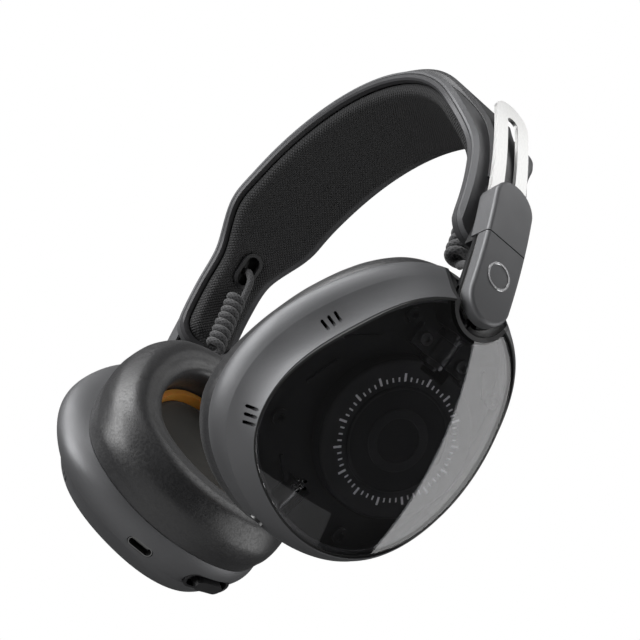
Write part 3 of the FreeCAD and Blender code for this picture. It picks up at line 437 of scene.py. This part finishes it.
def circuit():
    """Dark solder mask with copper tracks under it."""
    finish = Finish("circuit", (0.012, 0.03, 0.02), 0.35)
    tracks = finish.node("ShaderNodeTexBrick", {"Scale": 420.0, "Mortar Size": 0.03,
                                                "Vector": finish.coordinates()})
    finish.tint(tracks.outputs["Fac"], 0.8, 2.2)
    finish.bump(tracks.outputs["Fac"], 0.02 * MM)
    return finish.material


FINISHES = {
    "shell": satin("shell", (0.105, 0.106, 0.110), 0.47, 0.50),
    "rim": satin("rim", (0.060, 0.060, 0.063), 0.38, 0.35),
    "spine": satin("spine", (0.050, 0.050, 0.052), 0.42, 0.30),
    "trim": satin("trim", (0.010, 0.010, 0.011), 0.45, 0.0),
    "inner_plastic": satin("inner_plastic", (0.020, 0.020, 0.021), 0.34, 0.0, gloss=0.35),
    "annulus": satin("annulus", (0.026, 0.026, 0.027), 0.46, 0.0, gloss=0.25),
    "disc": satin("disc", (0.009, 0.009, 0.010), 0.46, 0.0, gloss=0.2),
    "steel": steel("steel", (0.74, 0.74, 0.73), 0.38),
    "dark_metal": steel("dark_metal", (0.06, 0.06, 0.062), 0.38),
    "screw": steel("screw", (0.10, 0.10, 0.10), 0.35),
    "magnet": steel("magnet", (0.42, 0.42, 0.43), 0.35),
    "nickel": steel("nickel", (0.20, 0.20, 0.20), 0.40),
    "foil": steel("foil", (0.45, 0.45, 0.47), 0.40),
    "rubber": rubber(),
    "mesh": woven_mesh(),
    "braid": braid(),
    "leatherette": leatherette(),
    "cloth": felt(),
    "amber": amber(),
    "board": circuit(),
    "smoked_lens": smoked_glass(),
    "socket": steel("socket", (0.12, 0.12, 0.12), 0.40),
    "print": satin("print", (0.95, 0.95, 0.96), 0.5, 0.0),
    "badge": steel("badge", (0.55, 0.55, 0.56), 0.16),
}

NODE_FINISH = {
    "band_shell": "shell", "rim_frame": "rim", "spring_strip": "steel", "spine_cover": "spine",
    "cable_eyelets": "trim", "slider_caps": "shell", "slider_guides": "trim",
    "cap_screws": "screw", "slider_plate": "steel", "arm_outer_cover": "shell",
    "arm_inner_cover": "trim", "tilt_pin": "screw", "arm_screws": "screw",
    "swivel_stem": "dark_metal", "cup_housing": "shell", "front_ring": "shell",
    "lens": "smoked_lens", "lens_gasket": "rubber", "stem_socket": "trim",
    "stem_bracket": "inner_plastic", "bracket_screws": "screw", "chassis": "inner_plastic",
    "baffle": "trim", "driver_housing": "annulus", "centre_disc": "disc",
    "driver_unit": "magnet", "circuit_board": "board", "ear_ring": "amber",
    "audio_jack": "socket", "usb_c_socket": "nickel", "rocker_bezel": "trim",
    "volume_rocker": "trim", "battery": "foil",
    "head_pad": "mesh", "cushion": "leatherette", "curly_lead": "braid", "driver_cloth": "cloth",
}


def wear(piece, finish):
    piece.data.materials.clear()
    piece.data.materials.append(FINISHES[finish])


def finish_nodes():
    """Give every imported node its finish."""
    for name, piece in NODES.items():
        base = name
        for side in SIDES:
            base = base.removesuffix("_" + side)
        wear(piece, NODE_FINISH[base])


# ------------------------------------------------------------------ cup frame

class Cup:
    """Directions and centre of one ear cup: x to the rear, y up the cup, z out of the window."""

    def __init__(self, side):
        low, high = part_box("centre_disc_" + side)
        self.origin = (low + high) / 2
        axis = Vector(JOINTS["swivel_" + side]["axis"])
        self.rear = Vector((0, 1, 0))
        self.up = axis if axis.z > 0 else -axis
        self.out = self.rear.cross(self.up) * SIDES[side]

    def point(self, x, y, z):
        return self.origin + self.rear * x + self.up * y + self.out * z

    def local(self, point):
        offset = Vector(point) - self.origin
        return offset.dot(self.rear), offset.dot(self.up), offset.dot(self.out)

    def depths(self, node):
        """Lowest and highest place of a node along the cup's outward direction."""
        heights = [self.local(v.co)[2] for v in NODES[node].data.vertices]
        return min(heights), max(heights)


# ------------------------------------------------------------------ ear cushions

CUSHION_STEPS = 132            # points round the cushion
CUSHION_CENTRE = (-6.1 * MM, 1.0 * MM)
CUSHION_PROFILE_STEPS = 5
CUSHION_SWELL = 0.4 * MM
SKIRT = 1.9 * MM               # the cover's edge, stretched over the baffle to the housing
OUTER_LEVELS = (0.5, 5, 10, 14.5)    # millimetres above the baffle where the CAD ring is measured
INNER_LEVELS = (0.5, 6, 11, 15)
PINNED_DEPTH = 2.2 * MM        # the cloth is held below this height,
CREST_POINT = 10               # and along this point of the profile, the top of the ring
PUFF_PRESSURE = 5.0
PUFF_CAP = 1.6 * MM
RAY_REACH = 150 * MM           # from outside any cup


def make_cushion(side):
    """A soft ring: broad outer side, gently rounded face and a soft edge at the ear opening."""
    cup = Cup(side)
    node = "cushion_" + side
    tree = node_tree(node)
    base = cup.depths(node)[1]

    def radius(turn, at, inward):
        direction = cup.rear * math.cos(turn) + cup.up * math.sin(turn)
        centre = cup.point(*CUSHION_CENTRE, base - at)
        start = centre + direction * (RAY_REACH if inward else 0)
        hit = tree.ray_cast(start, -direction if inward else direction)[0]
        return (hit - centre).length

    rows = []
    for step in range(CUSHION_STEPS):
        turn = 2 * math.pi * step / CUSHION_STEPS
        outer = [radius(turn, at * MM, True) + CUSHION_SWELL for at in OUTER_LEVELS]
        inner = [radius(turn, at * MM, False) + CUSHION_SWELL for at in INNER_LEVELS]
        width = outer[3] - inner[3]
        lip = outer[0] - CUSHION_SWELL
        profile = [(lip - 0.3 * MM, 0.2 * MM), (lip - 0.25 * MM, -0.8 * SKIRT),
                   (lip + 0.1 * MM, -SKIRT), (lip + 0.5 * MM, -0.5 * SKIRT),
                   (outer[0] + 0.5 * MM, 1.6 * MM), (outer[1] + 0.3 * MM, 5 * MM),
                   (outer[2] + 0.2 * MM, 10 * MM), (outer[3], 14.0 * MM),
                   (outer[3] - 0.17 * width, 16.1 * MM), (outer[3] - 0.38 * width, 16.9 * MM),
                   (inner[3] + 0.40 * width, 16.7 * MM), (inner[3] + 0.20 * width, 16.3 * MM),
                   (inner[3] + 0.03 * width, 14.8 * MM), (inner[2] + 0.1 * MM, 11 * MM),
                   (inner[1], 6 * MM), (inner[0], 1.4 * MM), (inner[0] + 0.6 * MM, 0.3 * MM)]
        section = spline(profile, CUSHION_PROFILE_STEPS)
        row = []
        for r, at in section:
            x = CUSHION_CENTRE[0] + r * math.cos(turn)
            y = CUSHION_CENTRE[1] + r * math.sin(turn)
            row.append(cup.point(x, y, base - at))
        rows.append(row)
    piece = grid_object("ear_cushion_" + side, rows, close_rows=True, close_columns=True)
    count = len(rows[0])
    crest = CREST_POINT * CUSHION_PROFILE_STEPS
    pinned = [i for i, v in enumerate(piece.data.vertices)
              if cup.local(v.co)[2] > base - PINNED_DEPTH or i % count == crest]
    puff(piece, pinned, PUFF_PRESSURE, PUFF_CAP)
    wrinkle(piece, 0.16 * MM, 11 * MM)
    subdivide(piece)
    wear(piece, "leatherette")
    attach(piece, "cup_" + side)
    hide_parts(node)


def wrinkle(piece, height, size):
    """Soft unevenness of a covered foam part, as moves along the normals."""
    mesh = piece.data
    normals = [v.normal.copy() for v in mesh.vertices]
    for vertex, normal in zip(mesh.vertices, normals):
        value = noise.fractal(vertex.co / size, 0.9, 2.2, 3, noise_basis="PERLIN_ORIGINAL")
        vertex.co += normal * (value * height)
    mesh.update()


# ------------------------------------------------------------------ domed window

DOME_CENTRE = (-8.0 * MM, 2.5 * MM, -183.3 * MM)


def make_window(side):
    """The smoked window with exact normals on its two ball-shaped faces, so it reflects cleanly."""
    cup = Cup(side)
    node = "lens_" + side
    centre = cup.point(*DOME_CENTRE)
    mesh = NODES[node].data.copy()
    mesh.name = "smoked_window_" + side
    piece = link_object("smoked_window_" + side, mesh)
    edit = bmesh.new()
    edit.from_mesh(mesh)
    bmesh.ops.remove_doubles(edit, verts=edit.verts, dist=0.001 * MM)
    edit.to_mesh(mesh)
    edit.free()
    normals = []
    for polygon in mesh.polygons:
        polygon.use_smooth = True
        outward = (polygon.center - centre).normalized()
        facing = polygon.normal.dot(outward)
        for index in polygon.loop_indices:
            radial = (mesh.vertices[mesh.loops[index].vertex_index].co - centre).normalized()
            if abs(facing) > 0.9:
                normals.append(radial if facing > 0 else -radial)
            else:
                normals.append(polygon.normal.copy())
    mesh.normals_split_custom_set(normals)
    wear(piece, "smoked_lens")
    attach(piece, "cup_" + side)
    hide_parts(node)


# ------------------------------------------------------------------ cloth over the driver

CLOTH_RINGS = 14
CLOTH_DOME = 0.5 * MM
CLOTH_WAVE = 0.12 * MM
CLOTH_LIFT = 0.1 * MM          # clear of the CAD solid's lower face


def make_driver_cloth(side):
    """Thin felt disc that sags a little between its edge and the driver."""
    cup = Cup(side)
    node = "driver_cloth_" + side
    tree = node_tree(node)
    low, high = cup.depths(node)
    middle = (low + high) / 2
    rows = []
    for step in range(CUSHION_STEPS):
        turn = 2 * math.pi * step / CUSHION_STEPS
        direction = cup.rear * math.cos(turn) + cup.up * math.sin(turn)
        centre = cup.point(*CUSHION_CENTRE, middle)
        reach = (tree.ray_cast(centre + direction * RAY_REACH, -direction)[0] - centre).length
        row = []
        for ring in range(1, CLOTH_RINGS + 1):
            share = ring / CLOTH_RINGS
            lift = CLOTH_DOME * (1 - share ** 2) + CLOTH_WAVE * math.sin(share * 9)
            place = direction * reach * share - cup.out * lift
            row.append(cup.point(*CUSHION_CENTRE, low + CLOTH_LIFT) + place)
        row.append(centre + direction * reach)
        row.append(cup.point(*CUSHION_CENTRE, high) + direction * reach)
        rows.append(row)
    piece = grid_object("driver_cover_" + side, rows, close_rows=True)
    face_outwards(piece.data, fill_holes=True)
    wear(piece, "cloth")
    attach(piece, "cup_" + side)
    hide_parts(node)


# ------------------------------------------------------------------ head pad

PAD_STATIONS = 220
PAD_ACROSS = 30
PAD_END_ANGLE = 96.5
PAD_END_FADE = 3.5             # degrees over which the pad thins to its end
PAD_END_SHARE = 0.35           # of its height is left at the end
PAD_EDGE_SHARE = 0.38          # of its depth is the upright edge below the roll
PAD_CROWN = 0.5 * MM
PAD_ROLL = 2.4 * MM
PAD_INSET = 0.4 * MM
PAD_BACK = (0.96, 0.5, 0, -0.5, -0.96)    # places across the side that meets the band
PRESS_EXTRA = 0.9 * MM         # the pad goes this much below an eyelet's floor,
PRESS_INSET = 0.2 * MM         # from inside the eyelet's edge,
PRESS_SLOPE = 1.4 * MM         # on a slope this wide


def band_point(angle, y, height):
    turn = math.radians(angle)
    radius = BAND_RADIUS + height
    return BAND_CENTRE + Vector((radius * math.sin(turn), y, radius * math.cos(turn)))


def eyelet_depth(angle, y):
    """How far the pad is pressed in under an eyelet."""
    along = abs(math.radians(abs(angle) - EYELET_ANGLE)) * (BAND_RADIUS + PAD_LOW)
    beyond = max(0.0, along - (EYELET_HALF_LENGTH - EYELET_HALF_WIDTH))
    distance = math.hypot(beyond, y)
    inside = smooth_step((EYELET_HALF_WIDTH - PRESS_INSET - distance) / PRESS_SLOPE)
    return (EYELET_FLOOR + PRESS_EXTRA) * inside


def make_head_pad():
    """Padded strip under the band, crowned across, with a rolled edge."""
    tree = node_tree("head_pad")
    middle = (PAD_LOW + PAD_HIGH) / 2
    depth = PAD_HIGH - PAD_LOW
    rows, arcs = [], []
    for station in range(PAD_STATIONS + 1):
        angle = PAD_END_ANGLE * (2 * station / PAD_STATIONS - 1)
        start = band_point(angle, 60 * MM, middle)
        hit = tree.ray_cast(start, Vector((0, -1, 0)))[0]
        half = abs(hit.y) if hit else 1 * MM
        ending = smooth_step((PAD_END_ANGLE - abs(angle)) / PAD_END_FADE)
        row = []
        for k in range(PAD_ACROSS + 1):      # the side that meets the head, crowned and rolled
            share = 2 * k / PAD_ACROSS - 1
            y = half * math.sin(share * math.pi / 2)
            edge = 1 - abs(y / half) if half > 0 else 0
            roll = 1 - (1 - min(1.0, edge * half / PAD_ROLL)) ** 2
            crown = PAD_CROWN * (1 - (y / half) ** 2)
            full = depth * (PAD_EDGE_SHARE + (1 - PAD_EDGE_SHARE) * math.sqrt(roll))
            thinned = (full + crown - PAD_INSET) * (PAD_END_SHARE + (1 - PAD_END_SHARE) * ending)
            row.append(band_point(angle, y, PAD_HIGH - thinned + eyelet_depth(angle, y)))
        for share in PAD_BACK:
            row.append(band_point(angle, half * share, PAD_HIGH))
        rows.append(row)
        arcs.append(math.radians(angle) * BAND_RADIUS)

    def uvs(i, j):
        if j > PAD_ACROSS:
            return arcs[i], 0.0
        return arcs[i], rows[i][j].y

    piece = grid_object("pad_cover", rows, uvs, close_columns=True, caps=True)
    wear(piece, "mesh")
    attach(piece, "headband")
    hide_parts("head_pad")


# ------------------------------------------------------------------ curly leads

def make_curly_lead(side):
    """Braided lead out of the eyelet, wound in a coil, and into the arm."""
    sign = SIDES[side]
    axis = (COIL_BOTTOM - COIL_TOP).normalized()
    first = Vector((0, 1, 0))
    second = axis.cross(first)

    def on_coil(turns):
        centre = COIL_TOP.lerp(COIL_BOTTOM, turns / COIL_TURNS)
        turn = 2 * math.pi * turns
        radius = COIL_RADIUS + COIL_WOBBLE * math.sin(2.3 * turn)
        return centre + (first * math.cos(turn) + second * math.sin(turn)) * radius

    floor = PAD_LOW + EYELET_FLOOR
    entry = band_point(EYELET_ANGLE, 0, floor + 0.3 * MM)
    lead_in = [entry, band_point(EYELET_ANGLE + 0.3, 0.6 * MM, floor - 3.2 * MM),
               band_point(EYELET_ANGLE + 3.0, 1.9 * MM, floor - 5.6 * MM),
               on_coil(0.0) + Vector((-0.4, -0.2, 1.9)) * MM]
    turns = [on_coil(k / STEPS_PER_TURN) for k in range(int(COIL_TURNS * STEPS_PER_TURN) + 1)]
    low = turns[-1]
    lead_out = [low + Vector((0.9, -0.9, -1.5)) * MM, low + Vector((3.4, -1.7, -2.4)) * MM,
                ARM_HOLE + Vector((-3.2, -0.2, -0.4)) * MM, ARM_HOLE + Vector((1.0, 0, 0)) * MM]
    inlet = spline(lead_in + [turns[0], turns[1]], LEAD_STEPS)[:-LEAD_STEPS]
    outlet = spline([turns[-2], turns[-1]] + lead_out, LEAD_STEPS)[LEAD_STEPS:]
    points = [Vector(p) for p in inlet[:-1]] + turns + [Vector(p) for p in outlet[1:]]
    points = [Vector((p.x * sign, p.y, p.z)) for p in points]
    piece = tube_object("braided_lead_" + side, points, WIRE_RADIUS, 16)
    wear(piece, "braid")
    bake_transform(piece)
    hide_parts("curly_lead_" + side)


# ------------------------------------------------------------------ marks and badges

RING_EDGE = 0.08 * MM


def ring_object(name, place, inner, outer, low, high, count=96):
    """A flat ring with bevelled edges; place turns (x, y, z) into a point."""
    edge = min(RING_EDGE, (outer - inner) / 5, (high - low) / 3)
    section = [(inner, low), (outer, low), (outer, high - edge), (outer - edge, high),
               (inner + edge, high), (inner, high - edge)]
    rows = []
    for k in range(count):
        turn = 2 * math.pi * k / count
        rows.append([place(r * math.cos(turn), r * math.sin(turn), z) for r, z in section])
    piece = grid_object(name, rows, close_rows=True, close_columns=True)
    piece.data.polygons.foreach_set("use_smooth", [False] * len(piece.data.polygons))
    return piece


TICKS = 60
TICK_INNER = 17.4 * MM
TICK_SHORT = 1.3 * MM
TICK_LONG = 2.4 * MM
TICK_HALF_THIN = 0.24 * MM
TICK_HALF_THICK = 0.34 * MM
TICK_EVERY = 4                 # every so many marks there is a long one
TICK_SUNK = 0.05 * MM
TICK_PROUD = 0.06 * MM


def make_ticks(side):
    """Printed scale of plain marks round the driver housing, under the window."""
    cup = Cup(side)
    surface = cup.depths("driver_housing_" + side)[1]
    vertices, faces = [], []
    for k in range(TICKS):
        turn = 2 * math.pi * (k + 0.5) / TICKS
        length = TICK_SHORT if k % TICK_EVERY else TICK_LONG
        half = TICK_HALF_THIN if k % TICK_EVERY else TICK_HALF_THICK
        along = Vector((math.cos(turn), math.sin(turn), 0))
        across = Vector((-math.sin(turn), math.cos(turn), 0))
        start = len(vertices)
        for z in (surface - TICK_SUNK, surface + TICK_PROUD):
            for r, side_step in ((0, -half), (0, half), (length, half), (length, -half)):
                place = along * (TICK_INNER + r) + across * side_step
                vertices.append(tuple(cup.point(place.x, place.y, z)))
        faces += [[start + i for i in face] for face in
                  ((0, 1, 2, 3), (4, 5, 6, 7), (0, 1, 5, 4), (1, 2, 6, 5), (2, 3, 7, 6),
                   (3, 0, 4, 7))]
    mesh = bpy.data.meshes.new("dial_marks_" + side)
    mesh.from_pydata(vertices, [], faces)
    face_outwards(mesh)
    piece = link_object("dial_marks_" + side, mesh)
    wear(piece, "print")
    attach(piece, "cup_" + side)


DISC_RINGS = ((15.1 * MM, 15.7 * MM), (6.6 * MM, 9.4 * MM))
DISC_RING_SUNK = 0.1 * MM
DISC_RING_PROUD = 0.25 * MM


def make_disc_rings(side):
    """Plain raised rings on the centre disc."""
    cup = Cup(side)
    surface = cup.depths("centre_disc_" + side)[1]
    for number, (inner, outer) in enumerate(DISC_RINGS, 1):
        ring = ring_object("disc_ring_%d_%s" % (number, side), cup.point, inner, outer,
                           surface - DISC_RING_SUNK, surface + DISC_RING_PROUD)
        wear(ring, "inner_plastic")
        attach(ring, "cup_" + side)


ARM_CENTRE = Vector((-123.1, 0, -97.9)) * MM     # centre of the slider's arc, left side
ARM_FACE_RADIUS = 209.1 * MM
ARM_RING_ANGLE = math.radians(2.2)
ARM_RING_INNER = 3.7 * MM
ARM_RING_OUTER = 4.5 * MM
ARM_RING_SUNK = 0.3 * MM
ARM_RING_PROUD = 0.14 * MM


def make_arm_ring(side):
    """Plain polished ring set on the arm's outer cover."""
    sign = SIDES[side]
    outward = Vector((math.cos(ARM_RING_ANGLE), 0, math.sin(ARM_RING_ANGLE)))
    upward = Vector((-outward.z, 0, outward.x))
    middle = ARM_CENTRE + outward * ARM_FACE_RADIUS

    def place(x, y, z):
        spot = middle + Vector((0, 1, 0)) * x + upward * y + outward * z
        return Vector((spot.x * sign, spot.y, spot.z))

    ring = ring_object("arm_ring_" + side, place, ARM_RING_INNER, ARM_RING_OUTER,
                       -ARM_RING_SUNK, ARM_RING_PROUD)
    wear(ring, "badge")
    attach(ring, "arm_" + side)


# ------------------------------------------------------------------ stage, lights and camera

CAMERA_PLACE = Vector((0.41710, -0.24481, -0.36758))
CAMERA_FORWARD = Vector((-0.7422, 0.4355, 0.5093))
CAMERA_UP = Vector((0.2261, -0.5527, 0.8022))
CAMERA_LENS = 96.34
FLOOR_Z = -1.6
FLOOR_HALF = 1.1
AMBIENT = 0.05


def make_camera():
    data = bpy.data.cameras.new("camera")
    data.lens = CAMERA_LENS
    data.sensor_width = 36.0
    data.clip_start = 0.01
    camera = bpy.data.objects.new("camera", data)
    bpy.context.scene.collection.objects.link(camera)
    back = -CAMERA_FORWARD.normalized()
    right = CAMERA_UP.cross(back).normalized()
    up = back.cross(right)
    rows = [(right[i], up[i], back[i], CAMERA_PLACE[i]) for i in range(3)] + [(0, 0, 0, 1)]
    camera.matrix_world = Matrix(rows)
    bpy.context.scene.camera = camera


def softbox(name, place, size, radiance, upright=(0, 1, 0)):
    """An area light placed and turned in the camera's directions, aimed at the object's middle."""
    low, high = cad_box
    middle = (low + high) / 2
    away = -CAMERA_FORWARD.normalized()
    aside = CAMERA_UP.cross(away).normalized()
    above = away.cross(aside)

    def turned(v):
        return aside * v[0] + above * v[1] + away * v[2]

    data = bpy.data.lights.new(name, "AREA")
    data.shape = "RECTANGLE"
    data.size, data.size_y = size
    data.energy = radiance * math.pi * size[0] * size[1]
    light = bpy.data.objects.new(name, data)
    bpy.context.scene.collection.objects.link(light)
    back = turned(place).normalized()
    across = turned(upright).cross(back).normalized()
    up = back.cross(across)
    spot = middle + turned(place)
    rows = [(across[i], up[i], back[i], spot[i]) for i in range(3)] + [(0, 0, 0, 1)]
    light.matrix_world = Matrix(rows)


def make_stage():
    steps = np.linspace(-FLOOR_HALF, FLOOR_HALF, 4)
    floor = grid_object("floor", [[Vector((x, y, FLOOR_Z)) for y in steps] for x in steps])
    finish = Finish("floor", (0.80, 0.80, 0.80), 0.9)
    finish.tint(finish.noise(0.2, 2.0), 0.98, 1.02)
    floor.data.materials.append(finish.material)
    world = bpy.data.worlds.new("studio")
    bpy.context.scene.world = world
    world.use_nodes = True
    tree = world.node_tree
    tree.nodes.clear()
    output = tree.nodes.new("ShaderNodeOutputWorld")
    mix = tree.nodes.new("ShaderNodeMixShader")
    seen = tree.nodes.new("ShaderNodeBackground")
    seen.inputs["Color"].default_value = (1, 1, 1, 1)
    ambient = tree.nodes.new("ShaderNodeBackground")
    ambient.inputs["Color"].default_value = (AMBIENT, AMBIENT, AMBIENT, 1)
    path = tree.nodes.new("ShaderNodeLightPath")
    tree.links.new(path.outputs["Is Camera Ray"], mix.inputs[0])
    tree.links.new(ambient.outputs[0], mix.inputs[1])
    tree.links.new(seen.outputs[0], mix.inputs[2])
    tree.links.new(mix.outputs[0], output.inputs["Surface"])


def make_lights():
    softbox("key_left", (-0.45, 1.30, -0.35), (0.9, 0.9), 5.5)
    softbox("fill_left", (-0.95, 0.80, 0.50), (1.1, 1.3), 6.6)
    softbox("top", (0.0, 1.35, 0.2), (1.2, 0.6), 1.3)
    softbox("window_right", (1.06, -0.64, 0.10), (0.85, 1.3), 2.7, (0.50, 0.86, 0.18))
    softbox("plate", (1.05, 0.60, -0.48), (1.0, 0.9), 1.6)
    softbox("rim_low", (-0.6, -1.1, -0.2), (0.8, 0.5), 0.1)


# ------------------------------------------------------------------ assembly

finish_nodes()
make_head_pad()
for each_side in SIDES:
    make_cushion(each_side)
    make_window(each_side)
    make_driver_cloth(each_side)
    make_curly_lead(each_side)
    make_ticks(each_side)
    make_disc_rings(each_side)
    make_arm_ring(each_side)
make_stage()
make_camera()
make_lights()
bpy.context.scene.view_settings.view_transform = "Standard"
